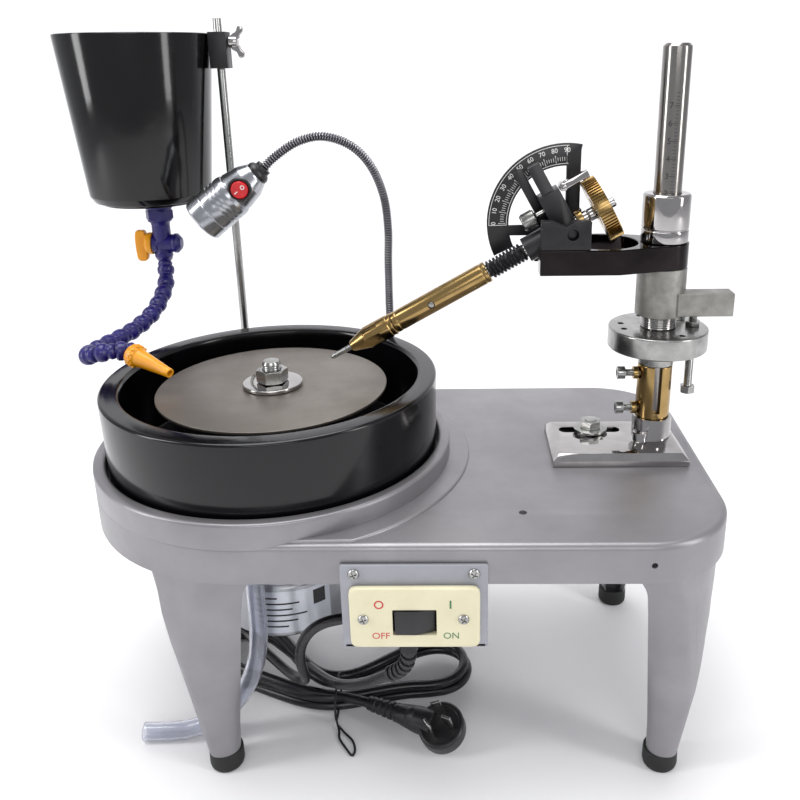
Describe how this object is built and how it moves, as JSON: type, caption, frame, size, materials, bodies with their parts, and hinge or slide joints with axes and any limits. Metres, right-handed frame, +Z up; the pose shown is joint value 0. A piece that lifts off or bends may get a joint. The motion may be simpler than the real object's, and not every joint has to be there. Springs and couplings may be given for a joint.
{
  "type": "faceting machine",
  "caption": "Bench gem faceting machine: table on legs with a motor-driven lap in a basin, a mast with an indexed angle quill, drip bucket and gooseneck lamp",
  "frame": {"origin": "middle of the machine's base on the floor, midway between its sides and between its front and back, cords left out", "axes": "+X to the mast's side, +Y to the back, +Z up"},
  "size_m": [0.4632, 0.3082, 0.4625],
  "materials": {
    "silver_paint": "silver hammered paint",
    "gloss_black": "gloss",
    "matt_black": "matt black oxide",
    "rubber": "matt",
    "cord_rubber": "satin",
    "steel": "ground",
    "chrome": "mirror",
    "black_chrome": "dark mirror",
    "zinc": "sand cast, zinc plated",
    "brass": "polished",
    "aluminium": "turned",
    "lap_bronze": "satin, diamond charged",
    "motor_paint": "dark cast",
    "cream_plastic": "satin",
    "sheet_grey": "satin",
    "blue_plastic": "satin",
    "yellow_plastic": "satin",
    "red_plastic": "gloss",
    "glass": "clear",
    "clear_hose": "clear PVC"
  },
  "bodies": {
    "stand": {"table_casting": "silver_paint", "leg_front_left": "silver_paint", "foot_front_left": "rubber", "leg_front_right": "silver_paint", "foot_front_right": "rubber", "leg_back_left": "silver_paint", "foot_back_left": "rubber", "leg_back_right": "silver_paint", "foot_back_right": "rubber", "splash_basin": "gloss_black", "motor_end_bell": "motor_paint", "motor_can": "aluminium", "switch_bracket": "sheet_grey", "switch_cover": "cream_plastic", "cord_gland": "matt_black", "power_cord": "cord_rubber", "motor_lead": "cord_rubber", "drain_hose": "clear_hose", "plug_body": "cord_rubber", "cord_hank": "cord_rubber", "bucket_rod": "steel", "rod_bracket": "silver_paint", "lamp_gooseneck": "black_chrome", "lamp_head": "aluminium", "lamp_lens": "glass", "slot_bolt": "steel"},
    "spindle": {"spindle_shaft": "steel", "master_plate": "aluminium", "lap_disc": "lap_bronze", "arbor_washer": "chrome", "arbor_nut": "chrome"},
    "power_key": {"power_rocker": "matt_black"},
    "lamp_key": {"lamp_rocker": "red_plastic"},
    "drip_bucket": {"bucket": "gloss_black", "bucket_clamp": "matt_black", "valve_body": "blue_plastic", "coolant_hose": "blue_plastic"},
    "valve_lever": {"valve_knob": "yellow_plastic"},
    "nozzle_tip": {"nozzle": "yellow_plastic"},
    "wing_bolt": {"wing_screw": "chrome"},
    "mast": {"mast_base_plate": "chrome", "mast_post": "steel", "brass_sleeve": "brass", "flange_disc": "steel"},
    "carriage": {"carriage_sleeve": "chrome"},
    "clamp_lever": {"height_clamp": "zinc"},
    "arm_fork": {"carriage_arm": "black_chrome", "front_cheek": "matt_black", "back_cheek": "matt_black", "quadrant": "matt_black"},
    "angle_head": {"index_head": "matt_black", "pointer_bar": "matt_black", "adjust_knob": "steel"},
    "pawl": {"index_pawl": "chrome"},
    "quill": {"quill_shaft": "chrome", "quill_tube": "brass", "quill_spring": "black_chrome", "quill_chuck": "brass", "dop": "steel", "index_gear": "brass"}
  },
  "joints": [
    {"name": "spindle_spin", "type": "hinge", "parent": "stand", "child": "spindle", "pos_m": [-0.0655, -0.0292, 0.1445], "axis": [0, 0, 1], "continuous": true},
    {"name": "power_rocker_turn", "type": "hinge", "parent": "stand", "child": "power_key", "pos_m": [0.0315, -0.1506, 0.1353], "axis": [0, 0, 1], "range_deg": [-16, 0]},
    {"name": "lamp_rocker_turn", "type": "hinge", "parent": "stand", "child": "lamp_key", "pos_m": [-0.08962, 0.02311, 0.35049], "axis": [-0.6133, -0.0823, 0.7856], "range_deg": [0, 16]},
    {"name": "bucket_swing", "type": "hinge", "parent": "stand", "child": "drip_bucket", "pos_m": [-0.1145, 0.0992, 0.4405], "axis": [0, 0, 1], "range_deg": [-60, 0]},
    {"name": "valve_turn", "type": "hinge", "parent": "drip_bucket", "child": "valve_lever", "pos_m": [-0.1801, 0.0988, 0.2985], "axis": [1, 0, 0], "range_deg": [0, 90]},
    {"name": "nozzle_swivel", "type": "hinge", "parent": "drip_bucket", "child": "nozzle_tip", "pos_m": [-0.164, -0.0207, 0.2511], "axis": [0, 0, 1], "range_deg": [-15, 15]},
    {"name": "wing_screw_turn", "type": "hinge", "parent": "drip_bucket", "child": "wing_bolt", "pos_m": [-0.1075, 0.0992, 0.4461], "axis": [1, 0, 0], "range_deg": [0, 180]},
    {"name": "base_slide", "type": "slide", "parent": "stand", "child": "mast", "axis": [1, 0, 0], "range_m": [-0.014, 0.016]},
    {"name": "height_slide", "type": "slide", "parent": "mast", "child": "carriage", "axis": [0, 0, 1], "range_m": [0, 0.075]},
    {"name": "clamp_lever_turn", "type": "hinge", "parent": "carriage", "child": "clamp_lever", "pos_m": [0.1881, -0.0199, 0.2895], "axis": [0, 0, 1], "range_deg": [0, 60]},
    {"name": "arm_swing", "type": "hinge", "parent": "carriage", "child": "arm_fork", "pos_m": [0.1881, -0.0199, 0.3135], "axis": [0, 0, 1], "range_deg": [-20, 90]},
    {"name": "quill_tilt", "type": "hinge", "parent": "arm_fork", "child": "angle_head", "pos_m": [0.127, -0.0199, 0.331], "axis": [0, 1, 0], "range_deg": [-2, 29]},
    {"name": "pawl_lift", "type": "hinge", "parent": "angle_head", "child": "pawl", "pos_m": [0.1229, -0.0199, 0.35678], "axis": [0, -1, 0], "range_deg": [0, 12], "stiffness_Nm_per_rad": 0.03, "springref_deg": -2.86},
    {"name": "quill_spin", "type": "hinge", "parent": "angle_head", "child": "quill", "pos_m": [0.127, -0.0199, 0.331], "axis": [0.8729, 0, 0.4879], "continuous": true}
  ]
}
